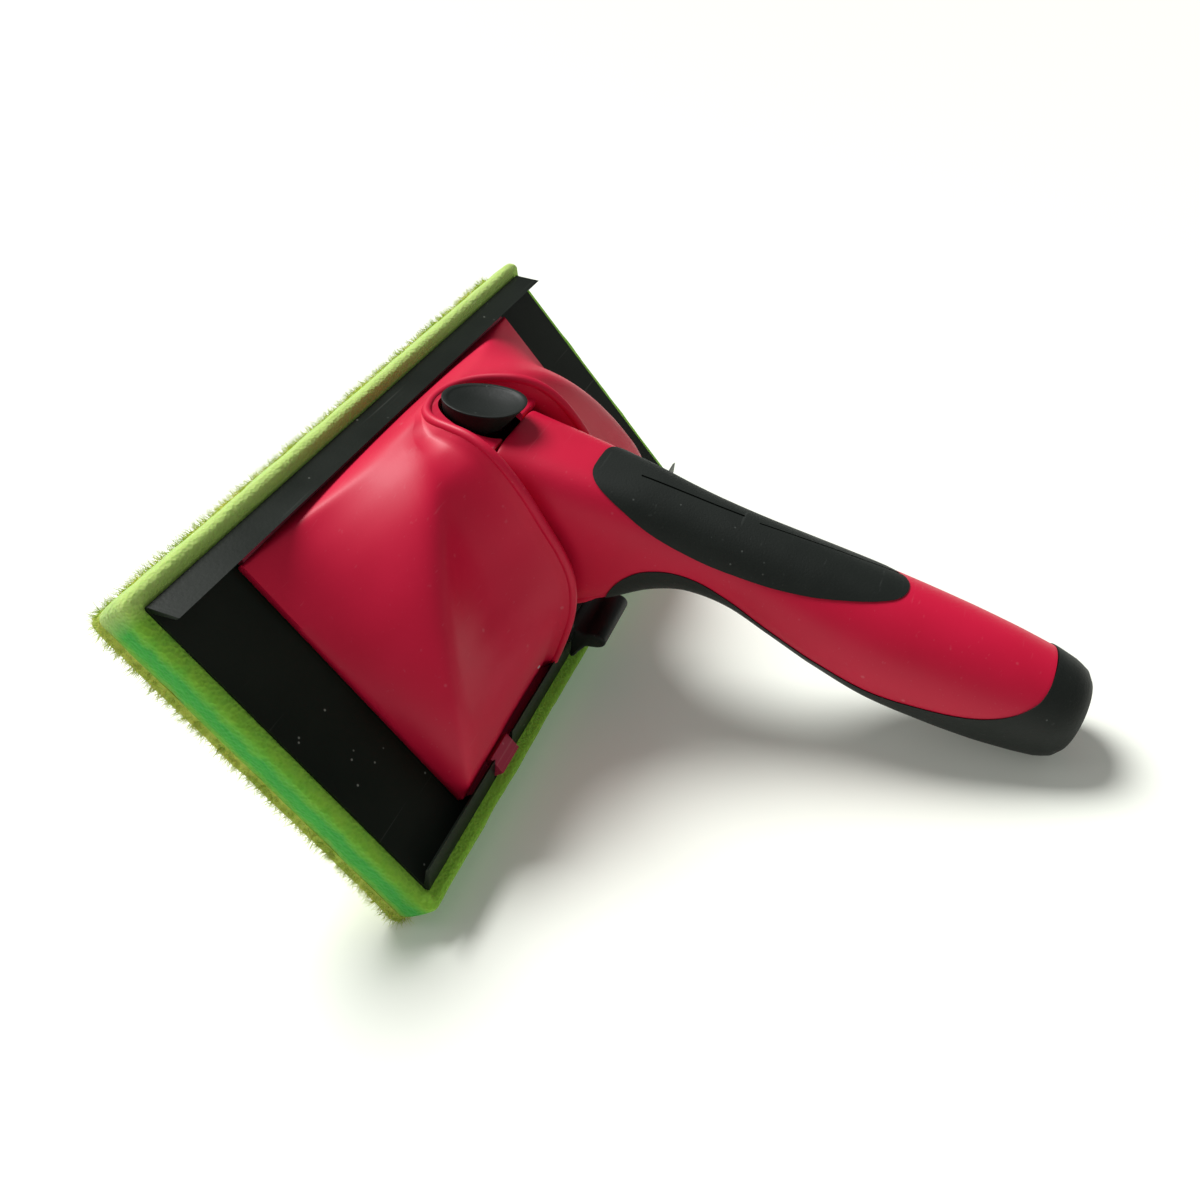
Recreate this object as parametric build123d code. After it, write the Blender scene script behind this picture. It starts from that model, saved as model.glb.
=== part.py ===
"""Paint pad edger: a wide pad on a swivelling, lockable handle.

Everything is drawn in the head's own frame first: X along the pad, Y up the pad's back
from its lower fold, Z out of the back towards the handle. The last step stands the
tool the way it rests on a table, on the pad's lower edge and the end of the handle.
"""
from build123d import *
import math
import os

# ---- driving dimensions, mm ----
tray_length = 226.0
tray_width = 106.8
sheet = 1.2
lip_reach = 6.0
lip_rise = 7.4
foam_thick = 12.0
pile_thick = 5.0
pad_over_low = 7.0
pad_over_high = 6.5
pad_over_end = 4.0

base_thick = 2.4
wall = 2.4
cover_half = 85.0
pocket_half = 17.8

pivot_y = 42.0
pivot_z = 31.0
handle_rise = 36.87
hub_radius = 27.0
hub_half = 16.2
slot_half = 6.2
tail_radius = 34.6
sweep_radius = 35.0
platform_top = 26.6
handle_end = 169.5
grip_thick = 2.0

pin_radius = 2.5
pin_clearance = 0.06
sector_radius = 22.0
notch_count = 3
notch_step = 15.0
bolt_angle = 175.0
bolt_tip = 22.35
bolt_end = 42.0
bolt_half_width = 5.0
bolt_half_height = 2.6

socket_radius = 9.35
socket_outer = 12.0
socket_depth = 42.0
socket_height = 7.0

latch_half = 12.0
latch_y = 10.2
latch_z = 11.2

lean = 57.55

# ---- frames ----
rise = math.radians(handle_rise)
handle_plane = Plane(origin=(0, pivot_y, pivot_z), x_dir=(1, 0, 0), z_dir=(0, -math.cos(rise), math.sin(rise)))


def in_handle(shape):
    """Move a shape drawn along the handle (Z along it, Y to its back) onto the head."""
    return handle_plane.location * shape


def on_side(points, x_low, x_high):
    """A closed outline of (Y, Z) points, extruded along X."""
    edges = Polyline([(0, y, z) for y, z in points], close=True)
    return Pos(x_low, 0, 0) * extrude(make_face(edges), amount=x_high - x_low, dir=(1, 0, 0))


def bar(x_size, y_size, z_size, x=0.0, y=0.0, z=0.0):
    return Pos(x, y, z) * Box(x_size, y_size, z_size)


def rod_x(radius, x_low, x_high, y=0.0, z=0.0):
    middle = Pos((x_low + x_high) / 2, y, z)
    return middle * Rot(0, 90, 0) * Cylinder(radius, x_high - x_low)


def mirror_pair(shape):
    return shape + mirror(shape, about=Plane.YZ)


# ---- pad ----
def make_tray():
    """The black sheet that carries the pad, with a folded lip along both long edges."""
    half = tray_length / 2
    floor = on_side([(0, -sheet), (tray_width, -sheet), (tray_width, 0), (0, 0)], -half, half)
    low_lip = on_side([(0, -sheet), (2.2, -sheet), (2.2, 0), (1.35, 0.2), (lip_reach, 5.9),
                       (lip_reach + 0.1, lip_rise), (-0.9, 0.2), (-0.9, -0.6)], -half, half)
    high_lip = mirror(low_lip, about=Plane.XZ.offset(-tray_width / 2))
    notch_cut = mirror_pair(bar(12.6, 12, 12, x=63.5, y=1.5, z=6.15))
    return floor + (low_lip - notch_cut) + high_lip


def pad_block(z_low, z_high, corner):
    x_size = tray_length + 2 * pad_over_end
    y_size = tray_width + pad_over_low + pad_over_high
    y_mid = (tray_width + pad_over_high - pad_over_low) / 2
    block = bar(x_size, y_size, z_high - z_low, y=y_mid, z=(z_low + z_high) / 2)
    return fillet(block.edges().filter_by(Axis.Z), corner)


def make_foam():
    return pad_block(-sheet - foam_thick, -sheet, 7)


def make_pile():
    block = pad_block(-sheet - foam_thick - pile_thick, -sheet - foam_thick, 7)
    return fillet(block.faces().sort_by(Axis.Z)[0].edges(), 2.5)


# ---- head ----
def make_base():
    """The frame plate that the tray's lips grip, with a tab in each lip notch."""
    plate = bar(2 * (cover_half - 1), tray_width - 7.4, base_thick, y=tray_width / 2, z=base_thick / 2 + 0.05)
    plate = fillet(plate.edges().filter_by(Axis.Z), 5)
    tab = bar(11.8, 6.2, 5.0, x=63.5, y=3.3, z=2.75)
    screw_hole = Pos(0, 0, -0.5) * Cylinder(1.6, 6)
    sink = Pos(0, 0, 0.75) * Cone(3.0, 1.6, 1.5)
    for x, y in screw_places():
        plate -= Pos(x, y, 0) * (screw_hole + sink)
    return plate + mirror_pair(tab)


def screw_places():
    return [(x, y) for x in (-66, 66) for y in (20, 86)] + [(-32, 12), (32, 12)]


# each row: height up the back, crest's X and Z, pocket rim's X and Z
cover_rows = [
    (6.8, 79.5, 4.6, 21.5, 8.0),
    (11, 81.0, 9.8, 22.0, 16.0),
    (20, 79.0, 15.5, 22.0, 29.0),
    (35, 73.0, 21.5, 22.0, 39.0),
    (50, 64.5, 26.5, 22.0, 42.3),
    (65, 53.5, 30.5, 21.5, 44.0),
    (80, 41.0, 33.5, 20.0, 42.5),
    (90, 36.0, 26.0, 18.0, 35.5),
    (96, 36.0, 16.0, 14.0, 27.0),
    (99.7, 36.0, 4.6, 12.0, 6.0),
]


def cover_section(y, crest_x, crest_z, rim_x, rim_z, inset):
    """Half a cross-section runs edge, flank, crest, valley, rim; the other half mirrors it."""
    edge_x = cover_half - inset
    edge_z = 0.05 + base_thick
    low = 0.6 + base_thick
    gap = crest_x - rim_x
    crest_x -= 0.6 * inset
    crest_z -= inset
    rim_z -= inset
    flank = (edge_x - 0.28 * (edge_x - crest_x), max(low, 0.62 * crest_z))
    valley = (rim_x + 0.55 * gap, 0.72 * crest_z + 0.28 * rim_z - 0.03 * gap)
    shoulder = (rim_x + 0.2 * gap, 0.25 * crest_z + 0.75 * rim_z - 0.05 * gap)
    points = [(edge_x, low), flank, (crest_x, crest_z), valley, shoulder, (rim_x, rim_z)]
    right = [(x, y, max(z, low)) for x, z in points]
    left = [(-x, y, z) for x, y, z in reversed(right)]
    edges = [
        Line((-edge_x, y, edge_z), (edge_x, y, edge_z)),
        Line((edge_x, y, edge_z), right[0]),
        Spline(right),
        Line(right[-1], left[0]),
        Spline(left),
        Line(left[-1], (-edge_x, y, edge_z)),
    ]
    return make_face(edges)


def cover_form(inset):
    middle = tray_width / 2
    shrink = 1 - inset / 48
    faces = [cover_section(middle + (row[0] - middle) * shrink, *row[1:], inset) for row in cover_rows]
    return loft(faces)


def make_cover():
    """The swept shell over the base, with the pocket that the handle turns in."""
    outer = cover_form(0)
    rim_line = [(7.2, 2.5), (7.2, 7), (11, 15), (20, 27.5), (35, 37.5), (50, 40.8), (65, 42.5),
                (80, 41), (90, 34), (96, 25), (99, 5), (99, 2.5)]
    cheek = on_side(rim_line, pocket_half, pocket_half + wall) & outer
    shell = outer - (Pos(0, 0, -0.1) * cover_form(wall))
    sweep = in_handle(rod_x(sweep_radius, -pocket_half, pocket_half))
    mouth = in_handle(bar(2 * pocket_half, 170, 100, y=0, z=40))
    recess = in_handle(bar(27, 20, 26, y=platform_top + 10, z=-33) + bar(15, 20, 38, y=platform_top + 10, z=-31))
    platform = in_handle(bar(2 * pocket_half + 0.6, wall, 40, y=platform_top - wall / 2, z=-40)) & outer
    shell = shell + mirror_pair(cheek)
    shell = shell - sweep - mouth - recess
    shell = shell + (platform - sweep)
    button_hole = in_handle(extrude(leaf(20, -46.6, -26.4, 9.6), amount=12, dir=(0, 1, 0)))
    shell -= button_hole
    shell -= rod_x(pin_radius, -30, 30, y=pivot_y, z=pivot_z)
    floor_cut = bar(400, 400, 20, y=50, z=base_thick + 0.05 - 10)
    for x, y in screw_places():
        boss = (Pos(x, y, 10) * Cylinder(3.4, 20)) & outer
        shell = shell + boss
        shell -= Pos(x, y, 5.5) * Cylinder(1.25, 10)
    return shell - floor_cut


def make_cover_screws():
    """Countersunk thread-forming screws up through the base into the cover."""
    head = Pos(0, 0, 0.8) * Cone(2.9, 1.2, 1.5)
    shank = Pos(0, 0, 5.2) * Cylinder(1.25, 8.6)
    drive = Pos(0, 0, 0.3) * Cylinder(0.9, 1.0)
    screw = head + shank - drive
    return Compound(children=[Pos(x, y, 0) * screw for x, y in screw_places()])


def make_pivot_pin():
    pin = rod_x(pin_radius, -23.4, 23.4, y=pivot_y, z=pivot_z)
    groove = rod_x(pin_radius + 1, 20.35, 21.25, y=pivot_y, z=pivot_z)
    core = rod_x(pin_radius - 0.6, 20.3, 21.3, y=pivot_y, z=pivot_z)
    cut = groove - core
    pin = pin - cut - mirror(cut, about=Plane.YZ)
    return pin


def make_pin_clips():
    """Snap rings in the grooves at both ends of the pivot pin."""
    ring = rod_x(4.4, 20.4, 21.2) - rod_x(pin_radius - 0.6, 20, 22)
    mouth = bar(2, 2.6, 8, x=20.8, y=0, z=-4)
    clip = Pos(0, pivot_y, pivot_z) * (ring - mouth)
    return Compound(children=[clip, Pos(-41.6, 0, 0) * clip])


def make_pivot_washers():
    inner = hub_half + 0.2
    outer = pocket_half - 0.1
    washer = rod_x(8, inner, outer) - rod_x(pin_radius + pin_clearance, 10, 20)
    washer = Pos(0, pivot_y, pivot_z) * washer
    return Compound(children=[washer, Pos(-inner - outer, 0, 0) * washer])


# ---- handle ----
# each row: distance along the handle, back and belly heights, half width, squareness
handle_rows = [
    (4, 27.6, -24.5, 16.2, 4.0),
    (14, 28.0, -22.5, 16.1, 3.6),
    (25, 28.1, -15.5, 15.7, 3.0),
    (35, 28.0, -7.6, 15.2, 2.5),
    (46, 27.7, -2.8, 14.7, 2.1),
    (60, 27.6, -2.4, 14.8, 2.0),
    (75, 27.4, -5.8, 16.3, 2.0),
    (90, 27.2, -9.6, 18.0, 2.0),
    (110, 26.8, -13.0, 19.5, 2.0),
    (130, 26.1, -13.2, 19.2, 2.0),
    (145, 25.1, -12.4, 18.3, 2.0),
    (157, 23.8, -10.8, 17.0, 2.0),
    (164, 22.2, -9.3, 15.8, 2.0),
    (168, 20.4, -7.5, 14.0, 2.0),
    (handle_end, 18.4, -5.5, 12.0, 2.0),
]


def handle_section(z, back, belly, half, power, inset):
    """A superellipse of 16 points."""
    middle = (back + belly) / 2
    tall = (back - belly) / 2 - inset
    half -= inset
    points = []
    for step in range(16):
        turn = 2 * math.pi * step / 16
        x = math.copysign(abs(math.cos(turn)) ** (2 / power), math.cos(turn)) * half
        y = math.copysign(abs(math.sin(turn)) ** (2 / power), math.sin(turn)) * tall
        points.append((x, middle + y, z))
    return make_face(Spline(points, periodic=True))


def handle_form(inset):
    return loft([handle_section(*row, inset) for row in handle_rows])


def along_side(points):
    """A closed outline of (height, along) points beside the handle, through its width."""
    edges = Polyline([(0, y, z) for z, y in points], close=True)
    return Pos(-30, 0, 0) * extrude(make_face(edges), amount=60, dir=(1, 0, 0))


def top_grip_zone():
    edge = Spline([(0, 29.5, 4), (0, 27.2, 10), (0, 23.9, 20), (0, 19.4, 33), (0, 17, 49), (0, 17.6, 65),
                   (0, 20, 80), (0, 22.8, 92), (0, 25.3, 102), (0, 28.5, 110)])
    top = Polyline([(0, 28.5, 110), (0, 40, 110), (0, 40, 4), (0, 29.5, 4)])
    return Pos(-30, 0, 0) * extrude(make_face([edge, top]), amount=60, dir=(1, 0, 0))


def under_grip_zone():
    edge = Spline([(0, -30, 21.5), (0, -11, 23.5), (0, 2, 29), (0, 8, 38), (0, 9, 49), (0, 6.5, 60), (0, 2.4, 73),
                   (0, -1, 90), (0, -2, 109), (0, 0.8, 125), (0, 4.4, 138), (0, 9, 147), (0, 16, 154),
                   (0, 24, 157), (0, 40, 158.5)])
    rest = Polyline([(0, 40, 158.5), (0, 40, 190), (0, -30, 190), (0, -30, 21.5)])
    return Pos(-30, 0, 0) * extrude(make_face([edge, rest]), amount=60, dir=(1, 0, 0))


def socket_bore(radius, start, end):
    return Pos(0, socket_height, (start + end) / 2) * Cylinder(radius, end - start)


def handle_parts():
    """The moulded handle and the two soft grips that fill its recesses."""
    form = handle_form(0)
    core = handle_form(grip_thick) + socket_bore(13.0, 120, handle_end - 2.5)
    skin = form - core
    top_grip = skin & top_grip_zone()
    under_grip = (skin & under_grip_zone()) - socket_bore(10.4, 150, 180)
    body = form - top_grip - under_grip
    body -= socket_bore(socket_outer, handle_end - 2.5 - socket_depth - 2, handle_end - 2.5)
    body -= socket_bore(9.0, 84, handle_end)
    body -= bar(100, 100, 10, y=0, z=handle_end + 2.5)
    drum = fillet(rod_x(hub_radius, -hub_half, hub_half).edges(), 2.5)
    tail = bar(2 * hub_half - 0.8, 3.8, 32, y=25.7, z=-12)
    tail = fillet(tail.edges().filter_by(Axis.Z), 1.2) & rod_x(tail_radius, -20, 20)
    body = body + drum + tail
    slot = rod_x(hub_radius + 1, -slot_half, slot_half) - bar(2 * slot_half, 20, 60, y=33.8, z=0)
    slot -= bar(2 * slot_half, 60, 40, y=0, z=28)
    body -= slot
    body -= rod_x(5.0, -30, 30)
    body -= mirror_pair(rod_x(8.6, hub_half, 30))
    body = body - under_grip - top_grip
    return in_handle(body), in_handle(top_grip), in_handle(under_grip)


def make_bushes():
    """Flangeless plastic sleeves pressed into both sides of the hub."""
    sleeve = rod_x(5.0, slot_half, hub_half + 0.1) - rod_x(pin_radius + pin_clearance, 0, 30)
    sleeve = Pos(0, pivot_y, pivot_z) * sleeve
    return Compound(children=[sleeve, Pos(-slot_half - hub_half - 0.1, 0, 0) * sleeve])


def make_sector():
    """The notched ring in the hub that the lock bolt drops into."""
    ring = rod_x(sector_radius, -slot_half, slot_half) - rod_x(pin_radius + pin_clearance, -10, 10)
    ring -= bar(20, 60, 60, y=0, z=35.0)
    ring -= bar(20, 30, 60, y=36.9, z=0)
    for step in range(notch_count):
        turn = 90 - bolt_angle + notch_step * step
        ring -= Rot(turn, 0, 0) * bar(20, 6.0, 2 * bolt_half_height + 0.6, y=sector_radius, z=0)
    return in_handle(ring)


def make_socket():
    """The insert that an extension pole screws into."""
    low = handle_end - 2.5 - socket_depth - 2
    high = handle_end - 2.5
    insert = socket_bore(socket_outer, low, high) - socket_bore(socket_radius, low + 2, high + 1)
    return in_handle(insert)


# ---- lock ----
def bolt_frame(shape):
    """Y runs out of the hub along the bolt, Z to the side of it that faces the base."""
    return in_handle(Rot(90 - bolt_angle, 0, 0) * shape)


def leaf(y, rear, nose, half):
    """A pointed oval across the handle at one height, from its rear tip to its nose."""
    middle = (rear + nose) / 2
    one_side = ThreePointArc((0, y, rear), (half, y, middle), (0, y, nose))
    other_side = ThreePointArc((0, y, nose), (-half, y, middle), (0, y, rear))
    return make_face([one_side, other_side])


def make_button():
    """The thumb button: a leaning leaf with a scooped top, and a stem that ends in a cam."""
    cap = loft([
        leaf(23.0, -46.2, -26.8, 9.2),
        leaf(30.0, -46.2, -26.8, 9.3),
        leaf(32.0, -45.0, -20.0, 9.6),
        leaf(36.5, -39.0, -18.3, 8.6),
    ], ruled=True)
    scoop_radius = 19
    scoop = rod_x(scoop_radius, -30, 30, y=33.2 + scoop_radius, z=-27)
    outline = [(24, -34.2), (-1.5, -34.2), (-1.5, -36.2), (6.6, -36.2), (10.6, -40.2), (24, -40.2)]
    edges = Polyline([(0, y, z) for y, z in outline], close=True)
    stem = Pos(-3.8, 0, 0) * extrude(make_face(edges), amount=7.6, dir=(1, 0, 0))
    return in_handle(cap - scoop + stem)


def make_bolt():
    """The lock bolt, square to the hub, with a window for the button's stem."""
    length = bolt_end - bolt_tip
    body = bar(2 * bolt_half_width, length, 2 * bolt_half_height, y=bolt_tip + length / 2)
    window = bar(8.4, 5.8, 12, y=31.0 + 5.8 / 2)
    return bolt_frame(body - window)


def make_bolt_guide():
    """Two posts on the base that keep the bolt in line, and the wall its spring bears on."""
    top = base_thick + 0.05
    side = on_side([(68, top), (84, top), (84, 4.5), (77, 10), (71, 14), (68, 9)], bolt_half_width + 0.15,
                   bolt_half_width + 2.55)
    back = bolt_frame(bar(2 * bolt_half_width + 5.1, 1.6, 7.0, y=bolt_end + 7.2, z=0))
    return mirror_pair(side) + back - bar(400, 400, 20, y=50, z=top - 10)


def spring(radius, wire, turns, length):
    """A round-wire coil along Z from the origin."""
    path = Helix(pitch=(length - wire) / turns, height=length - wire, radius=radius)
    profile = Plane(origin=path @ 0, z_dir=path % 0) * Circle(wire / 2)
    return Pos(0, 0, wire / 2) * sweep(profile, path)


def make_bolt_spring():
    coil = spring(1.7, 0.5, 5, 6.2)
    return bolt_frame(Pos(0, bolt_end + 0.1, 0) * Rot(-90, 0, 0) * coil)


# ---- release latch ----
def make_latch_housing():
    """The bracket on the base that holds the release lever's pin."""
    web = on_side([(13.4, 2.45), (15.4, 2.45), (15.4, 11), (14.9, 16.8), (13.4, 17.2)], -15.4, 15.4)
    cheek_line = [(7.4, 4.6), (9.6, 2.45), (15.4, 2.45), (15.4, 11), (14.9, 16.8), (11, 16.2), (7.0, 12)]
    cheek = on_side(cheek_line, latch_half + 1.0, 15.4)
    housing = web + mirror_pair(cheek)
    return housing - rod_x(1.5, -20, 20, y=latch_y, z=latch_z)


def make_lever():
    """The finger paddle and the hook that holds the tray's lower lip."""
    profile = [(11.9, 9.2), (12.4, 11.4), (11.4, 13.8), (7.6, 15.0), (5.2, 16.8), (3.4, 20.4), (0.6, 20.9),
               (-1.2, 19.6), (-0.9, 16.8), (0.2, 13.6), (1.6, 12.4), (0.6, 8.2), (0.0, 4.6), (1.3, 4.2),
               (3.6, 7.1), (6.0, 9.4), (9.8, 8.6)]
    lever = on_side(profile, -latch_half, latch_half)
    lever -= rod_x(1.5 + pin_clearance, -20, 20, y=latch_y, z=latch_z)
    lever -= bar(6.6, 6.4, 12, y=10.4, z=11.2)
    return lever


def make_latch_pin():
    return rod_x(1.5, -15.2, 15.2, y=latch_y, z=latch_z)


def make_latch_spring():
    """A torsion spring on the latch pin, drawn as its coil and two legs."""
    coil = Rot(0, 90, 0) * Pos(0, 0, -2.6) * spring(2.1, 0.5, 4.5, 5.2)
    return Pos(0, latch_y, latch_z) * coil


# ---- rest pose ----
def stand(nodes):
    """Lean the head back, put the lowest edge on the table and centre the whole tool."""
    leaning = {name: Rot(lean, 0, 0) * shape for name, shape in nodes.items()}
    boxes = [shape.bounding_box() for shape in leaning.values()]
    near = min(box.min.Y for box in boxes)
    far = max(box.max.Y for box in boxes)
    low = min(box.min.Z for box in boxes)
    print("rest shift", -(near + far) / 2, -low)
    return {name: Pos(0, -(near + far) / 2, -low) * shape for name, shape in leaning.items()}


def build():
    body, top_grip, under_grip = handle_parts()
    nodes = {
        "pad_tray": make_tray(),
        "foam_pad": make_foam(),
        "pile_fabric": make_pile(),
        "base_plate": make_base(),
        "head_cover": make_cover(),
        "cover_screws": make_cover_screws(),
        "pivot_pin": make_pivot_pin(),
        "pin_clips": make_pin_clips(),
        "pivot_washers": make_pivot_washers(),
        "handle_body": body,
        "top_grip": top_grip,
        "under_grip": under_grip,
        "pivot_bushes": make_bushes(),
        "lock_sector": make_sector(),
        "pole_socket": make_socket(),
        "lock_button": make_button(),
        "lock_bolt": make_bolt(),
        "bolt_guide": make_bolt_guide(),
        "bolt_spring": make_bolt_spring(),
        "latch_housing": make_latch_housing(),
        "release_lever": make_lever(),
        "latch_pin": make_latch_pin(),
        "latch_spring": make_latch_spring(),
    }
    os.makedirs("parts", exist_ok=True)
    for name, shape in stand(nodes).items():
        export_step(shape, f"parts/{name}.step")


build()
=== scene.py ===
import math
import random

import bmesh
import bpy
import numpy as np
from mathutils import Matrix, Vector, noise


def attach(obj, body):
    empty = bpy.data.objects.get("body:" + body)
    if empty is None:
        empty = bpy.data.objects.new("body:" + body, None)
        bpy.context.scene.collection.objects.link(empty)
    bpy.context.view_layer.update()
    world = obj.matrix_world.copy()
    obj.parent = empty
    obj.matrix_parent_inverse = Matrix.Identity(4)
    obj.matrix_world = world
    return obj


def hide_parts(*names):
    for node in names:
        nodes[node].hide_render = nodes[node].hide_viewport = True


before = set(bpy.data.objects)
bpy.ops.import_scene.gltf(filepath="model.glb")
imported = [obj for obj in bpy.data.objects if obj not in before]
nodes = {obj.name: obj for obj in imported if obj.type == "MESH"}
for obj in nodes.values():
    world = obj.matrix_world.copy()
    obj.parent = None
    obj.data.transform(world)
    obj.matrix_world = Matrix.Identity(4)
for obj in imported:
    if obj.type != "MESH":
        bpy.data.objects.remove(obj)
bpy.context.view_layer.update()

mm = 0.001
print("frame loaded,", len(nodes), "nodes")

# how the tool stands: the pad leans back and the handle's end touches the table
standing = {"lean": 57.55, "forward": 46.7506, "up": 14.7214, "pivot": (0, 42, 31), "handleRise": 36.87}

headPlace = Matrix.Translation((0, standing["forward"] * mm, standing["up"] * mm))
headPlace = headPlace @ Matrix.Rotation(math.radians(standing["lean"]), 4, "X")
handleTilt = Matrix.Rotation(math.radians(90 - standing["handleRise"]), 4, "X")
handlePlace = headPlace @ Matrix.Translation(Vector(standing["pivot"]) * mm) @ handleTilt


def mixed(low, high, share):
    return low + (high - low) * share


# camera, table and light
view = {"place": (-262.6, -94.1, 247.6), "turn": (53.573, 7.217, -69.218), "lens": 31.52}
light = {"sunStrength": 3.9, "sunSpread": 26, "sunFrom": (0.30, 0.60, 1.0),
         "softPower": 0.5, "softSize": 0.45, "softPlace": (-0.30, 0.55, 0.62), "softAim": (0, 0, 0.06),
         "sky": 0.21, "table": (0.80, 0.82, 0.75), "glow": 0.12, "glowColor": (0.94, 1.0, 0.88)}


def addLight(kind, name, power, place, aim):
    lamp = bpy.data.lights.new(name, kind)
    lamp.energy = power
    if kind == "SUN":
        lamp.angle = math.radians(light["sunSpread"])
    else:
        lamp.size = light["softSize"]
    lampObject = bpy.data.objects.new(name, lamp)
    bpy.context.scene.collection.objects.link(lampObject)
    lampObject.location = place
    lampObject.rotation_euler = (Vector(aim) - Vector(place)).to_track_quat("-Z", "Y").to_euler()


def makeStudio():
    lens = bpy.data.cameras.new("viewCamera")
    lens.lens = view["lens"]
    lens.sensor_width = 36
    lens.clip_start = 0.01
    lens.clip_end = 50
    camera = bpy.data.objects.new("viewCamera", lens)
    bpy.context.scene.collection.objects.link(camera)
    camera.location = Vector(view["place"]) * mm
    camera.rotation_euler = [math.radians(angle) for angle in view["turn"]]
    bpy.context.scene.camera = camera

    bm = bmesh.new()
    bmesh.ops.create_grid(bm, x_segments=2, y_segments=2, size=9)
    mesh = bpy.data.meshes.new("tableTop")
    bm.to_mesh(mesh)
    bm.free()
    table = bpy.data.objects.new("tableTop", mesh)
    bpy.context.scene.collection.objects.link(table)
    tableLook = bpy.data.materials.new("paleTable")
    tableLook.use_nodes = True
    shader = tableLook.node_tree.nodes["Principled BSDF"]
    shader.inputs["Base Color"].default_value = (*light["table"], 1)
    shader.inputs["Roughness"].default_value = 0.55
    shader.inputs["Emission Color"].default_value = (*light["glowColor"], 1)
    shader.inputs["Emission Strength"].default_value = light["glow"]
    mesh.materials.append(tableLook)

    sky = bpy.data.worlds.new("studioSky")
    sky.use_nodes = True
    sky.node_tree.nodes["Background"].inputs["Color"].default_value = (1, 1, 1, 1)
    sky.node_tree.nodes["Background"].inputs["Strength"].default_value = light["sky"]
    bpy.context.scene.world = sky
    addLight("SUN", "keyLight", light["sunStrength"], light["sunFrom"], (0, 0, 0))
    addLight("AREA", "softLight", light["softPower"], light["softPlace"], light["softAim"])


makeStudio()
bpy.context.scene.view_settings.view_transform = "Standard"
print("camera, table and light ready")


# shared effects
def startGroup(name, inputs, outputs):
    group = bpy.data.node_groups.new(name, "ShaderNodeTree")
    for label, kind, start in inputs:
        socket = group.interface.new_socket(name=label, in_out="INPUT", socket_type=kind)
        if start is not None:
            socket.default_value = start
    for label, kind in outputs:
        group.interface.new_socket(name=label, in_out="OUTPUT", socket_type=kind)
    entry = group.nodes.new("NodeGroupInput")
    result = group.nodes.new("NodeGroupOutput")
    return group, entry, result


def addNode(tree, kind, settings=None, sockets=None):
    node = tree.nodes.new(kind)
    for key, value in (settings or {}).items():
        setattr(node, key, value)
    for key, value in (sockets or {}).items():
        if isinstance(value, bpy.types.NodeSocket):
            tree.links.new(value, node.inputs[key])
        else:
            node.inputs[key].default_value = value
    return node


def makeGrainGroup():
    # fine moulded texture with slow unevenness under it
    group, entry, result = startGroup(
        "mouldedGrain",
        [("Vector", "NodeSocketVector", None), ("Grain Size", "NodeSocketFloat", 1400.0),
         ("Patch Size", "NodeSocketFloat", 28.0)],
        [("Height", "NodeSocketFloat"), ("Patches", "NodeSocketFloat")])
    fine = addNode(group, "ShaderNodeTexNoise", sockets={
        "Vector": entry.outputs["Vector"], "Scale": entry.outputs["Grain Size"],
        "Detail": 3.0, "Roughness": 0.6})
    slow = addNode(group, "ShaderNodeTexNoise", sockets={
        "Vector": entry.outputs["Vector"], "Scale": entry.outputs["Patch Size"], "Detail": 4.0})
    group.links.new(fine.outputs[0], result.inputs["Height"])
    group.links.new(slow.outputs[0], result.inputs["Patches"])
    return group


def makeScratchGroup():
    # a few thin straight scratches and pale specks of dust
    group, entry, result = startGroup(
        "scratchesAndDust",
        [("Vector", "NodeSocketVector", None), ("Turn", "NodeSocketVector", (0.0, 0.0, 0.6)),
         ("Speck Size", "NodeSocketFloat", 420.0)],
        [("Scratches", "NodeSocketFloat"), ("Specks", "NodeSocketFloat")])
    turned = addNode(group, "ShaderNodeMapping", sockets={
        "Vector": entry.outputs["Vector"], "Rotation": entry.outputs["Turn"], "Scale": (14.0, 900.0, 900.0)})
    streaks = addNode(group, "ShaderNodeTexNoise", sockets={
        "Vector": turned.outputs[0], "Scale": 1.0, "Detail": 1.0})
    thin = addNode(group, "ShaderNodeMapRange", sockets={
        "Value": streaks.outputs[0], "From Min": 0.7, "From Max": 0.8})
    cells = addNode(group, "ShaderNodeTexVoronoi", sockets={
        "Vector": entry.outputs["Vector"], "Scale": entry.outputs["Speck Size"]})
    dots = addNode(group, "ShaderNodeMapRange", sockets={
        "Value": cells.outputs["Distance"], "From Min": 0.12, "From Max": 0.05})
    chance = addNode(group, "ShaderNodeMapRange", sockets={
        "Value": cells.outputs["Color"], "From Min": 0.72, "From Max": 0.76})
    specks = addNode(group, "ShaderNodeMath", {"operation": "MULTIPLY"})
    group.links.new(dots.outputs[0], specks.inputs[0])
    group.links.new(chance.outputs[0], specks.inputs[1])
    group.links.new(thin.outputs[0], result.inputs["Scratches"])
    group.links.new(specks.outputs[0], result.inputs["Specks"])
    return group


grainGroup = makeGrainGroup()
scratchGroup = makeScratchGroup()


def startMaterial(name, shaderValues):
    look = bpy.data.materials.new(name)
    look.use_nodes = True
    tree = look.node_tree
    shader = tree.nodes["Principled BSDF"]
    for key, value in shaderValues.items():
        shader.inputs[key].default_value = value
    place = addNode(tree, "ShaderNodeTexCoord")
    return look, tree, shader, place.outputs["Object"]


def blendColors(tree, share, first, second):
    node = addNode(tree, "ShaderNodeMix", {"data_type": "RGBA"})
    for index, value in ((0, share), (6, first), (7, second)):
        if isinstance(value, bpy.types.NodeSocket):
            tree.links.new(value, node.inputs[index])
        else:
            node.inputs[index].default_value = value if index == 0 else (*value, 1)
    return node.outputs[2]


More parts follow.
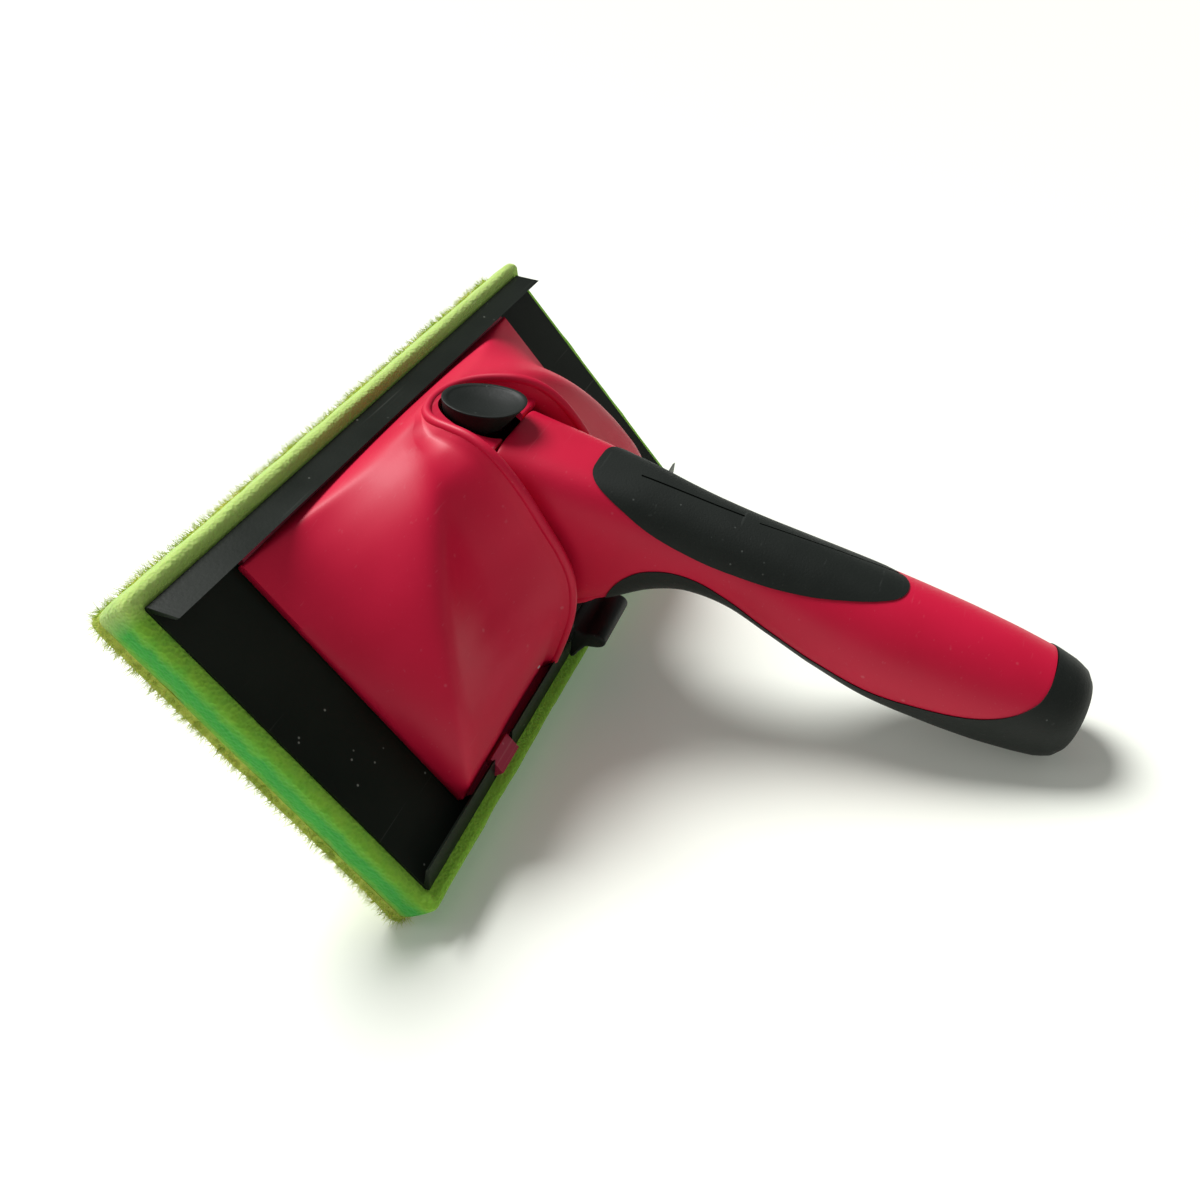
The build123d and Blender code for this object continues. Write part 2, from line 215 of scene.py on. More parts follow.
def ranged(tree, value, lowTo, highTo, lowFrom=0.3, highFrom=0.7):
    node = addNode(tree, "ShaderNodeMapRange", sockets={
        "Value": value, "From Min": lowFrom, "From Max": highFrom, "To Min": lowTo, "To Max": highTo})
    return node.outputs[0]


def mouldedMaterial(name, values):
    look, tree, shader, where = startMaterial(name, values.get("shader", {}))
    grain = addNode(tree, "ShaderNodeGroup", {"node_tree": grainGroup}, {
        "Vector": where, "Grain Size": values["grainSize"], "Patch Size": values["patchSize"]})
    marks = addNode(tree, "ShaderNodeGroup", {"node_tree": scratchGroup}, {
        "Vector": where, "Speck Size": values["speckSize"]})
    patches = ranged(tree, grain.outputs["Patches"], 0, 1)
    base = blendColors(tree, patches, values["darkColor"], values["color"])
    specks = ranged(tree, marks.outputs["Specks"], 0, values["dust"], 0, 1)
    dusted = blendColors(tree, specks, base, values["dustColor"])
    scratches = ranged(tree, marks.outputs["Scratches"], 0, values["scratches"], 0, 1)
    marked = blendColors(tree, scratches, dusted, values["dustColor"])
    tree.links.new(marked, shader.inputs["Base Color"])
    lowRough, highRough = values["roughness"]
    tree.links.new(ranged(tree, grain.outputs["Patches"], lowRough, highRough), shader.inputs["Roughness"])
    bump = addNode(tree, "ShaderNodeBump", sockets={
        "Strength": values["bump"], "Distance": values["bumpDepth"] * mm, "Height": grain.outputs["Height"]})
    tree.links.new(bump.outputs[0], shader.inputs["Normal"])
    return look


plasticLooks = {
    "crimsonShell": {"color": (0.68, 0.006, 0.050), "darkColor": (0.60, 0.005, 0.040),
                     "roughness": (0.42, 0.52),
                     "grainSize": 1500, "patchSize": 26, "speckSize": 160, "dust": 0.12, "scratches": 0.05,
                     "dustColor": (0.9, 0.55, 0.6), "bump": 0.10, "bumpDepth": 0.25,
                     "shader": {"Specular IOR Level": 0.26, "Coat Weight": 0.06, "Coat Roughness": 0.25}},
    "crimsonBase": {"color": (0.42, 0.012, 0.055), "darkColor": (0.34, 0.008, 0.04), "roughness": (0.45, 0.6),
                    "grainSize": 900, "patchSize": 40, "speckSize": 220, "dust": 0.15, "scratches": 0.08,
                    "dustColor": (0.8, 0.5, 0.55), "bump": 0.15, "bumpDepth": 0.3, "shader": {}},
    "blackTray": {"color": (0.010, 0.014, 0.010), "darkColor": (0.006, 0.009, 0.006),
                  "roughness": (0.3, 0.44),
                  "grainSize": 1100, "patchSize": 34, "speckSize": 260, "dust": 0.5, "scratches": 0.09,
                  "dustColor": (0.35, 0.37, 0.33), "bump": 0.14, "bumpDepth": 0.25,
                  "shader": {"Specular IOR Level": 0.1}},
    "gripRubber": {"color": (0.009, 0.013, 0.010), "darkColor": (0.006, 0.009, 0.007),
                   "roughness": (0.5, 0.64),
                   "grainSize": 1700, "patchSize": 45, "speckSize": 300, "dust": 0.25, "scratches": 0.05,
                   "dustColor": (0.3, 0.32, 0.3), "bump": 0.3, "bumpDepth": 0.3,
                   "shader": {"Specular IOR Level": 0.3}},
    "buttonPlastic": {"color": (0.009, 0.012, 0.010), "darkColor": (0.006, 0.009, 0.007),
                      "roughness": (0.42, 0.55),
                      "grainSize": 1300, "patchSize": 60, "speckSize": 300, "dust": 0.25, "scratches": 0.04,
                      "dustColor": (0.3, 0.32, 0.3), "bump": 0.2, "bumpDepth": 0.25,
                      "shader": {"Specular IOR Level": 0.16}},
    "latchPlastic": {"color": (0.014, 0.017, 0.015), "darkColor": (0.009, 0.011, 0.010),
                     "roughness": (0.35, 0.5),
                     "grainSize": 900, "patchSize": 70, "speckSize": 260, "dust": 0.3, "scratches": 0.06,
                     "dustColor": (0.4, 0.42, 0.4), "bump": 0.2, "bumpDepth": 0.25,
                     "shader": {"Specular IOR Level": 0.2}},
    "socketPlastic": {"color": (0.05, 0.05, 0.055), "darkColor": (0.032, 0.032, 0.036),
                      "roughness": (0.45, 0.6),
                      "grainSize": 700, "patchSize": 60, "speckSize": 200, "dust": 0.2, "scratches": 0.1,
                      "dustColor": (0.4, 0.4, 0.4), "bump": 0.3, "bumpDepth": 0.3, "shader": {}},
    "slipPlastic": {"color": (0.76, 0.75, 0.70), "darkColor": (0.66, 0.65, 0.60), "roughness": (0.35, 0.5),
                    "grainSize": 900, "patchSize": 90, "speckSize": 200, "dust": 0.1, "scratches": 0.1,
                    "dustColor": (0.4, 0.4, 0.38), "bump": 0.1, "bumpDepth": 0.2, "shader": {}},
    "platedSteel": {"color": (0.62, 0.62, 0.60), "darkColor": (0.45, 0.45, 0.44), "roughness": (0.22, 0.38),
                    "grainSize": 1200, "patchSize": 120, "speckSize": 300, "dust": 0.1, "scratches": 0.3,
                    "dustColor": (0.2, 0.2, 0.2), "bump": 0.15, "bumpDepth": 0.1,
                    "shader": {"Metallic": 1.0}},
    "springSteel": {"color": (0.42, 0.43, 0.44), "darkColor": (0.28, 0.28, 0.30), "roughness": (0.2, 0.35),
                    "grainSize": 1800, "patchSize": 160, "speckSize": 400, "dust": 0.1, "scratches": 0.2,
                    "dustColor": (0.15, 0.13, 0.12), "bump": 0.15, "bumpDepth": 0.08,
                    "shader": {"Metallic": 1.0}},
}
looks = {name: mouldedMaterial(name, values) for name, values in plasticLooks.items()}


# foam: its colours from the tray down to the pile, the depths they run between, and where and over
# what length its upper side is painted paler as painted light from above, all in millimetres
foamLook = {
    "colors": [(0.0, (0.24, 0.52, 0.045)), (0.17, (0.13, 0.46, 0.045)), (0.32, (0.05, 0.40, 0.055)),
               (0.56, (0.06, 0.42, 0.05)), (0.78, (0.22, 0.50, 0.04)), (1.0, (0.46, 0.56, 0.04))],
    "shallow": 3.5, "deep": 19.5, "wander": 5.0, "paintedLightColor": (0.50, 0.64, 0.20), "paintedLightShare": 0.8,
    "paintedLightFrom": 105.0, "paintedLightOver": 6.0,
}
pileLook = {"darkColor": (0.36, 0.52, 0.05), "color": (0.66, 0.72, 0.12)}


def heightOnPad(tree, where):
    # distance below the tray, in millimetres, for points on the leaning pad
    back = headPlace.to_3x3() @ Vector((0, 0, 1))
    turned = addNode(tree, "ShaderNodeVectorMath", {"operation": "DOT_PRODUCT"}, {0: where, 1: back})
    offset = back.dot(headPlace.translation)
    scaled = addNode(tree, "ShaderNodeMath", {"operation": "MULTIPLY_ADD"},
                     {0: turned.outputs["Value"], 1: -1 / mm, 2: offset / mm})
    return scaled.outputs[0]


def foamMaterial():
    look, tree, shader, where = startMaterial("greenFoam", {
        "Roughness": 0.9, "Subsurface Weight": 0.25, "Subsurface Radius": (0.6, 1.0, 0.3),
        "Subsurface Scale": 0.004, "Specular IOR Level": 0.1, "Sheen Weight": 0.08, "Sheen Roughness": 0.6})
    ramp = addNode(tree, "ShaderNodeValToRGB")
    while len(ramp.color_ramp.elements) < len(foamLook["colors"]):
        ramp.color_ramp.elements.new(0.5)
    for element, (position, color) in zip(ramp.color_ramp.elements, foamLook["colors"]):
        element.position = position
        element.color = (*color, 1)
    cells = addNode(tree, "ShaderNodeTexVoronoi", sockets={"Vector": where, "Scale": 900.0})
    clumps = addNode(tree, "ShaderNodeTexNoise", sockets={"Vector": where, "Scale": 180.0, "Detail": 5.0})
    shifted = addNode(tree, "ShaderNodeMath", {"operation": "MULTIPLY_ADD"},
                      {0: clumps.outputs[0], 1: foamLook["wander"], 2: heightOnPad(tree, where)})
    depth = ranged(tree, shifted.outputs[0], 0, 1, foamLook["shallow"], foamLook["deep"])
    tree.links.new(depth, ramp.inputs[0])
    shade = ranged(tree, cells.outputs["Distance"], 0.0, 0.45, 0.1, 0.7)
    pits = blendColors(tree, shade, (0.5, 0.5, 0.5), (1, 1, 1))
    color = addNode(tree, "ShaderNodeMix", {"data_type": "RGBA", "blend_type": "SOFT_LIGHT"},
                    {0: 0.45, 6: ramp.outputs[0], 7: pits})
    # painted light: the side that faces up is painted paler and yellower, standing in for the light that
    # falls on it from above
    upward = headPlace.to_3x3() @ Vector((0, 1, 0))
    up = addNode(tree, "ShaderNodeVectorMath", {"operation": "DOT_PRODUCT"}, {0: where, 1: upward})
    start = upward.dot(headPlace.translation) + foamLook["paintedLightFrom"] * mm
    end = start + foamLook["paintedLightOver"] * mm
    pale = ranged(tree, up.outputs["Value"], 0, foamLook["paintedLightShare"], start, end)
    paintedLitSide = blendColors(tree, pale, color.outputs[2], foamLook["paintedLightColor"])
    tree.links.new(paintedLitSide, shader.inputs["Base Color"])
    bump = addNode(tree, "ShaderNodeBump", sockets={
        "Strength": 0.7, "Distance": 0.5 * mm, "Height": cells.outputs["Distance"]})
    tree.links.new(bump.outputs[0], shader.inputs["Normal"])
    return look


def pileMaterial():
    look, tree, shader, where = startMaterial("limePile", {
        "Roughness": 0.75, "Subsurface Weight": 0.15, "Subsurface Scale": 0.003,
        "Specular IOR Level": 0.1, "Sheen Weight": 0.12})
    clumps = addNode(tree, "ShaderNodeTexNoise", sockets={"Vector": where, "Scale": 140.0, "Detail": 6.0})
    patches = ranged(tree, clumps.outputs[0], 0, 1)
    color = blendColors(tree, patches, pileLook["darkColor"], pileLook["color"])
    tree.links.new(color, shader.inputs["Base Color"])
    fine = addNode(tree, "ShaderNodeTexNoise", sockets={"Vector": where, "Scale": 1600.0, "Detail": 4.0})
    bump = addNode(tree, "ShaderNodeBump", sockets={
        "Strength": 0.8, "Distance": 0.6 * mm, "Height": fine.outputs[0]})
    tree.links.new(bump.outputs[0], shader.inputs["Normal"])
    return look


looks["greenFoam"] = foamMaterial()
looks["limePile"] = pileMaterial()
print("materials made:", len(looks))


# mesh helpers
def closePiece(bm, name, look, body, replaced, sharp=35.0, turned=True):
    # make the finished piece: smooth but for its hard edges, one finish, riding its body
    if turned:
        bmesh.ops.recalc_face_normals(bm, faces=bm.faces)
    for face in bm.faces:
        face.smooth = True
    for edge in bm.edges:
        if len(edge.link_faces) == 2:
            edge.smooth = edge.calc_face_angle(0) < math.radians(sharp)
    piece = loosePiece(bm, name)
    piece.data.materials.append(looks[look])
    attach(piece, body)
    if replaced:
        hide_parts(*replaced)
    return piece


def loosePiece(bm, name):
    mesh = bpy.data.meshes.new(name)
    bm.to_mesh(mesh)
    bm.free()
    piece = bpy.data.objects.new(name, mesh)
    bpy.context.scene.collection.objects.link(piece)
    return piece


def rounded(node, name, look, width):
    # a moulded part of the head, with its hard edges eased
    bm = bmesh.new()
    bm.from_mesh(nodes[node].data)
    bmesh.ops.remove_doubles(bm, verts=bm.verts, dist=0.004 * mm)
    bmesh.ops.dissolve_limit(bm, angle_limit=math.radians(1), verts=bm.verts, edges=bm.edges)
    piece = closePiece(bm, name, look, "head", [node])
    ease = piece.modifiers.new("easedEdges", "BEVEL")
    ease.width = width * mm
    ease.segments = 2
    ease.limit_method = "ANGLE"
    ease.angle_limit = math.radians(35)
    ease.harden_normals = True


def stand(bm, place):
    # from millimetres in the part's own frame to its place on the table
    bmesh.ops.scale(bm, vec=(mm, mm, mm), verts=bm.verts)
    bmesh.ops.transform(bm, matrix=place, verts=bm.verts)


def thicken(bm, way):
    # turn a flat face into a block that reaches along way
    grown = bmesh.ops.extrude_face_region(bm, geom=bm.faces[:])
    far = [item for item in grown["geom"] if isinstance(item, bmesh.types.BMVert)]
    bmesh.ops.translate(bm, vec=way, verts=far)
    bmesh.ops.recalc_face_normals(bm, faces=bm.faces)


def easeEdges(bm, edges, width, segments):
    bmesh.ops.bevel(bm, geom=edges, offset=width, offset_type="OFFSET", affect="EDGES",
                    segments=segments, profile=0.5, material=-1)


def squareEdges(bm):
    return [edge for edge in bm.edges if edge.calc_face_angle(0) > math.radians(60)]


def joinRings(bm, rings):
    # skin over rings of points, closed at both ends
    for first, second in zip(rings, rings[1:]):
        chosen = set(first) | set(second)
        loops = [edge for edge in bm.edges if (edge.is_wire or edge.is_boundary)
                 and edge.verts[0] in chosen and edge.verts[1] in chosen]
        bmesh.ops.bridge_loops(bm, edges=loops)
    bmesh.ops.holes_fill(bm, edges=[edge for edge in bm.edges if edge.is_boundary], sides=0)


def carve(base, tools):
    # apply each (operation, tool) to base and give the result as a bmesh
    for operation, tool in tools:
        cut = base.modifiers.new("cut", "BOOLEAN")
        cut.operation = operation
        cut.object = tool
        cut.solver = "EXACT"
    bm = bmesh.new()
    bm.from_mesh(base.evaluated_get(bpy.context.evaluated_depsgraph_get()).to_mesh())
    for used in [base] + [tool for operation, tool in tools]:
        bpy.data.objects.remove(used)
    return bm


def smoothBetween(before, start, end, after, share):
    # a curve through start and end that heads the way its neighbours do
    return 0.5 * ((2 * start) + (end - before) * share
                  + (2 * before - 5 * start + 4 * end - after) * share ** 2
                  + (3 * start - before - 3 * end + after) * share ** 3)


def arc(start, pull, end, share):
    return start * (1 - share) ** 2 + pull * 2 * share * (1 - share) + end * share ** 2


def neighbours(rows, index):
    # the rows either side of the gap after index, with one more at each end
    last = len(rows) - 1
    return [rows[max(0, index - 1)], rows[index], rows[index + 1], rows[min(last, index + 2)]]


# pad
# crown: how far the sides bulge; tuck: how far their rims draw in; waves: (size, share) of each
# unevenness; lift: how far the foam rises beyond the tray's long edges, before it falls off again
pad = {"halfLength": 117.6, "low": -6.6, "high": 113.4, "top": -1.2, "foamDeep": 12.0, "pileDeep": 5.0,
       "cornerRadius": 3.2, "edgeRound": 1.6, "step": 3.0, "crown": 0.5, "tuck": 0.3, "sideFrom": 0.97,
       "lump": 0.7, "waves": [(0.09, 0.45), (0.55, 0.28)], "evenTop": 0.4, "trayEdges": (-0.8, 107.6),
       "lift": 2.0, "liftDepth": 1.5, "liftOver": 1.5, "fallFrom": 4.0, "fallOver": 6.0}
fibres = {"count": 22000, "length": 3.6, "shortest": 0.35, "thick": 0.10, "lean": 0.8, "droop": 0.5,
          "rooted": 0.4, "sideShare": 6.0, "seed": 7}


def padBlock(zLow, zHigh, edges):
    # a block with rounded corners; edges lists the heights whose rim is eased
    bm = bmesh.new()
    bmesh.ops.create_cube(bm, size=1)
    size = Vector((2 * pad["halfLength"], pad["high"] - pad["low"], zHigh - zLow))
    bmesh.ops.scale(bm, vec=size, verts=bm.verts)
    bmesh.ops.translate(bm, vec=(0, (pad["high"] + pad["low"]) / 2, (zHigh + zLow) / 2), verts=bm.verts)
    upright = [edge for edge in bm.edges if abs(edge.verts[0].co.z - edge.verts[1].co.z) > 1]
    easeEdges(bm, upright, pad["cornerRadius"], 6)
    rims = [edge for edge in bm.edges
            if any(abs(edge.verts[0].co.z - z) < 0.01 and abs(edge.verts[1].co.z - z) < 0.01 for z in edges)]
    easeEdges(bm, rims, pad["edgeRound"], 4)
    return bm


def sliceUp(bm):
    # plane cuts give the big flat faces enough points to swell
    low = [min(vert.co[axis] for vert in bm.verts) for axis in range(3)]
    high = [max(vert.co[axis] for vert in bm.verts) for axis in range(3)]
    for axis in range(3):
        normal = Vector((axis == 0, axis == 1, axis == 2))
        count = int((high[axis] - low[axis]) / pad["step"])
        for index in range(1, count):
            place = normal * mixed(low[axis], high[axis], index / count)
            geometry = bm.verts[:] + bm.edges[:] + bm.faces[:]
            bmesh.ops.bisect_plane(bm, geom=geometry, plane_co=place, plane_no=normal, dist=0.01)
    bmesh.ops.triangulate(bm, faces=[face for face in bm.faces if len(face.verts) > 4])


def swell(bm, zLow, zHigh, seedShift):
    # the sides bulge in their middle height, and all of the skin but its top is slightly uneven
    middle = (pad["high"] + pad["low"]) / 2
    halfWidth = (pad["high"] - pad["low"]) / 2
    (roughSize, roughShare), (fineSize, fineShare) = pad["waves"]
    for vert in bm.verts:
        point = vert.co
        out = Vector((point.x / pad["halfLength"], (point.y - middle) / halfWidth, 0))
        share = (point.z - zLow) / (zHigh - zLow)
        if max(abs(out.x), abs(out.y)) > pad["sideFrom"]:
            point += out.normalized() * (pad["crown"] * 4 * share * (1 - share) - pad["tuck"])
        if point.z < zHigh - pad["evenTop"]:
            rough = noise.noise_vector(point * roughSize + Vector((seedShift, 0, 0)))
            fine = noise.noise_vector(point * fineSize + Vector((0, seedShift, 0)))
            vert.co = point + (rough * roughShare + fine * fineShare) * pad["lump"]


def makeFoam():
    zHigh = pad["top"]
    zLow = zHigh - pad["foamDeep"]
    bm = padBlock(zLow, zHigh, [zHigh])
    sliceUp(bm)
    swell(bm, zLow, zHigh, 3.0)
    lowEdge, highEdge = pad["trayEdges"]
    for vert in bm.verts:
        # the foam stands up a little beyond the tray's long edges, where nothing presses it
        past = max(vert.co.y - highEdge, lowEdge - vert.co.y)
        if past > 0 and vert.co.z > zHigh - pad["liftDepth"]:
            fall = 1 - max(0.0, past - pad["fallFrom"]) / pad["fallOver"]
            vert.co.z += pad["lift"] * min(1.0, past / pad["liftOver"]) * fall
        vert.co.z = max(vert.co.z, zLow)
    stand(bm, headPlace)
    piece = closePiece(bm, "foamPad", "greenFoam", "head", ["foam_pad"], 80)


def fibreMesh():
    # one tapering three-sided hair along +Z, one unit tall
    bm = bmesh.new()
    bmesh.ops.create_cone(bm, segments=3, radius1=1, radius2=0.25, depth=1, cap_ends=False)
    bmesh.ops.translate(bm, vec=(0, 0, 0.5), verts=bm.verts)
    return bm


def repeated(shape, places, name):
    # one mesh holding a copy of shape at every place
    count = len(shape.vertices)
    points = np.empty(count * 3, dtype=np.float32)
    shape.vertices.foreach_get("co", points)
    points = np.hstack([points.reshape(count, 3), np.ones((count, 1), dtype=np.float32)])
    faces = np.array([face.vertices[:] for face in shape.polygons])
    matrices = np.array([[row[:] for row in place] for place in places], dtype=np.float32)
    allPoints = np.einsum("kij,nj->kni", matrices[:, :3, :], points).reshape(-1, 3)
    shifts = (np.arange(len(places)) * count)[:, None, None]
    allFaces = (faces[None, :, :] + shifts).reshape(-1, faces.shape[1])
    mesh = bpy.data.meshes.new(name)
    mesh.from_pydata(allPoints.tolist(), [], allFaces.tolist())
    return mesh


def makePile():
    zHigh = pad["top"] - pad["foamDeep"]
    zLow = zHigh - pad["pileDeep"]
    bm = padBlock(zLow, zHigh, [zLow])
    sliceUp(bm)
    swell(bm, zLow, zHigh, 9.0)
    bm.faces.ensure_lookup_table()
    bm.normal_update()
    random.seed(fibres["seed"])
    skin = [face for face in bm.faces if face.normal.z < 0.5]
    weights = []
    for face in skin:
        nearSide = face.normal.z > -0.9
        weights.append(face.calc_area() * (fibres["sideShare"] if nearSide else 1.0))
    roots = random.choices(skin, weights=weights, k=fibres["count"])
    hair = fibreMesh()
    hairMesh = bpy.data.meshes.new("oneFibre")
    hair.to_mesh(hairMesh)
    hair.free()
    tufts = []
    for face in roots:
        corners = random.sample(list(face.verts), 3)
        shares = [random.random() for corner in corners]
        total = sum(shares)
        root = sum((corner.co * share / total for corner, share in zip(corners, shares)), Vector())
        lean = Vector([random.uniform(-1, 1) for axis in range(3)]) * fibres["lean"]
        direction = (face.normal - Vector((0, 0, fibres["droop"])) + lean).normalized()
        length = fibres["length"] * random.uniform(fibres["shortest"], 1.0)
        scale = Matrix.Diagonal((fibres["thick"], fibres["thick"], length, 1))
        turn = direction.to_track_quat("Z", "Y").to_matrix().to_4x4()
        tufts.append(Matrix.Translation(root - direction * fibres["rooted"]) @ turn @ scale)
    bm.from_mesh(repeated(hairMesh, tufts, "fibreCoat"))
    bpy.data.meshes.remove(hairMesh)
    stand(bm, headPlace)
    piece = closePiece(bm, "pileFabric", "limePile", "head", ["pile_fabric"], 80)


makeFoam()
makePile()
print("pad made")

# head cover; each row: rim point, crest point, skirt point, how far the flank bows out, how deep the
# scoop sags, and how much the flank flares out flat at the skirt
coverShape = {
    "rows": [
        ((20.5, 6.2, 6.4), (82.8, 6.4, 3.6), (85.0, 6.2), 0.2, 0.6, 0.0),
        ((21.3, 11.0, 15.0), (82.6, 11.0, 9.4), (85.0, 11.0), 0.5, 0.4, 0.0),
        ((22.0, 20.0, 28.4), (81.2, 20.0, 15.8), (85.0, 20.0), 1.0, 3.6, 0.0),
        ((22.0, 30.0, 37.0), (77.4, 30.0, 20.6), (85.0, 30.0), 1.5, 6.4, 0.0),
        ((22.0, 40.0, 40.4), (72.0, 40.0, 24.5), (85.0, 40.0), 1.9, 7.4, 0.05),
        ((22.0, 50.0, 41.8), (65.6, 50.0, 27.8), (85.0, 50.0), 2.2, 6.8, 0.15),
        ((22.0, 60.0, 43.6), (58.0, 60.0, 30.6), (85.0, 60.0), 2.5, 5.6, 0.3),
        ((21.6, 70.0, 44.0), (49.8, 70.0, 32.4), (85.0, 70.0), 2.2, 4.0, 0.5),
        ((20.6, 78.0, 42.6), (41.8, 79.0, 32.0), (85.0, 80.0), 1.6, 2.0, 0.65),
        ((18.9, 84.5, 38.8), (34.0, 86.0, 29.2), (85.0, 88.0), 1.0, 0.8, 0.75),
        ((17.0, 89.0, 33.6), (27.2, 90.8, 26.0), (85.0, 94.0), 0.5, 0.4, 0.85),
        ((14.8, 92.6, 28.6), (21.2, 94.4, 22.6), (85.0, 99.3), 0.2, 0.1, 0.9),
        ((11.6, 95.0, 24.8), (15.2, 96.6, 21.4), (58.0, 99.7), 0.2, 0.0, 0.8),
        ((7.2, 96.6, 22.2), (9.4, 98.0, 19.0), (30.0, 99.7), 0.0, 0.0, 0.4),
        ((0.0, 97.3, 21.0), (0.0, 98.6, 18.0), (0.0, 99.7), 0.0, 0.0, 0.0),
    ],
    "between": 6, "scoopSteps": 12, "flankSteps": 14, "skirtHeight": 2.7, "wallDeep": 15.0, "thick": 1.6,
    # how strongly the sag and the bow pull on their curves
    "sagPull": 2.4, "bowPull": 1.4,
    # the rim's section, outward and up; it shrinks where the crest is nearer than ridgeRoom
    "ridge": [(2.6, -5.5), (1.4, -2.6), (0.7, -0.9), (0.3, -0.25), (-0.5, 0.1), (-1.4, -0.1),
              (-2.1, -1.5), (-2.6, -3.6), (-3.5, -5.3)],
    "ridgeRoom": 9,
}
# the smoothing of the crest: wholeTurns turns over all of it, then the rest over its upper end only
crestEase = {"turns": 14, "wholeTurns": 5, "strength": 0.35, "skirtTop": 3.2, "inner": 27, "upperInner": 28,
             "upperFrom": 60, "upperTo": 30}


def coverLine(rim, crest, skirt, bow, sag, flare):
    away = Vector((rim.x - crest.x, rim.y - crest.y, 0))
    ridgeSize = min(1.0, away.length / coverShape["ridgeRoom"])
    away.normalize()
    wallOut = coverShape["ridge"][0][0]
    line = [rim + away * wallOut * ridgeSize - Vector((0, 0, coverShape["wallDeep"]))]
    for out, up in coverShape["ridge"]:
        line.append(rim + (away * out + Vector((0, 0, up))) * ridgeSize)
    foot = line[-1].copy()
    low = foot.lerp(crest, 0.30) - Vector((0, 0, sag * coverShape["sagPull"]))
    for step in range(1, coverShape["scoopSteps"] + 1):
        line.append(arc(foot, low, crest, step / coverShape["scoopSteps"]))
    side = skirt - crest
    outward = Vector((-side.z, 0, side.x)).normalized() if abs(side.x) > 0.1 else Vector((0, 0, 0))
    bulge = outward * bow * coverShape["bowPull"]
    upper = crest.lerp(skirt, 0.33) + bulge
    straight = crest.lerp(skirt, 0.67) + bulge
    flat = skirt - Vector((side.x * 0.45, side.y * 0.45, side.z * 0.1))
    lower = straight.lerp(flat, flare)
    for step in range(1, coverShape["flankSteps"] + 1):
        share = step / coverShape["flankSteps"]
        line.append(arc(crest, upper, lower, share).lerp(arc(upper, lower, skirt, share), share))
    line.append(skirt - Vector((0, 0, coverShape["skirtHeight"] - 0.3)))
    return line


def makeCover():
    rows = []
    for rim, crest, skirt, *amounts in coverShape["rows"]:
        skirtPoint = Vector((*skirt, coverShape["skirtHeight"]))
        rows.append((Vector(rim), Vector(crest), skirtPoint, *amounts))
    lines = []
    for index in range(len(rows) - 1):
        around = neighbours(rows, index)
        for step in range(coverShape["between"]):
            share = step / coverShape["between"]
            rim, crest = [smoothBetween(*[row[column] for row in around], share) for column in (0, 1)]
            rest = [mixed(start, end, share) for start, end in zip(rows[index][2:], rows[index + 1][2:])]
            lines.append(coverLine(rim, crest, *rest))
    lines.append(coverLine(*rows[-1]))
    bm = bmesh.new()
    bmesh.ops.create_grid(bm, x_segments=len(lines) - 1, y_segments=len(lines[0]) - 1, size=0.5)
    across = len(lines[0]) - 1
    along = len(lines) - 1
    for vert in bm.verts:
        row = round((vert.co.x + 0.5) * along)
        column = round((vert.co.y + 0.5) * across)
        vert.co = lines[row][column]
    # ease the crest, and leave the rim and the skirt crisp
    for turn in range(crestEase["turns"]):
        soft = [vert for vert in bm.verts if not vert.is_boundary
                and vert.co.z > crestEase["skirtTop"] and vert.co.x > crestEase["inner"]]
        if turn >= crestEase["wholeTurns"]:
            reach = mixed(crestEase["upperFrom"], crestEase["upperTo"], turn / crestEase["turns"])
            soft = [vert for vert in soft if vert.co.y > reach and vert.co.x > crestEase["upperInner"]]
        bmesh.ops.smooth_vert(bm, verts=soft, factor=crestEase["strength"],
                              use_axis_x=True, use_axis_y=True, use_axis_z=True)
    geometry = bm.verts[:] + bm.edges[:] + bm.faces[:]
    bmesh.ops.mirror(bm, geom=geometry, axis="X", merge_dist=0.05)
    bmesh.ops.remove_doubles(bm, verts=bm.verts, dist=0.02)
    bmesh.ops.recalc_face_normals(bm, faces=bm.faces)
    if sum(face.normal.z for face in bm.faces) < 0:
        bmesh.ops.reverse_faces(bm, faces=bm.faces)
    stand(bm, headPlace)
    piece = closePiece(bm, "headCover", "crimsonShell", "head", ["head_cover"], 60, False)
    wall = piece.modifiers.new("wall", "SOLIDIFY")
    wall.thickness = coverShape["thick"] * mm
    wall.offset = -1
    wall.use_even_offset = False


# the plate that the button stands in
seat = {"outline": [(20.6, -22.8), (19.6, -29), (17.6, -36), (15.2, -42), (12.2, -46.4), (7.6, -48.8),
                    (0, -49.8)],
        "top": 26.5, "thick": 2.6, "edge": 0.7}


def extrudedOutline(points, top, thick):
    # a flat outline in the handle's frame, given as (x, along), made into a plate
    bm = bmesh.new()
    bm.faces.new([bm.verts.new((x, top, along)) for x, along in points])
    thicken(bm, (0, -thick, 0))
    return bm


# rim bead
bead = {"radius": 1.6, "sink": 0.3, "outward": 0.6}


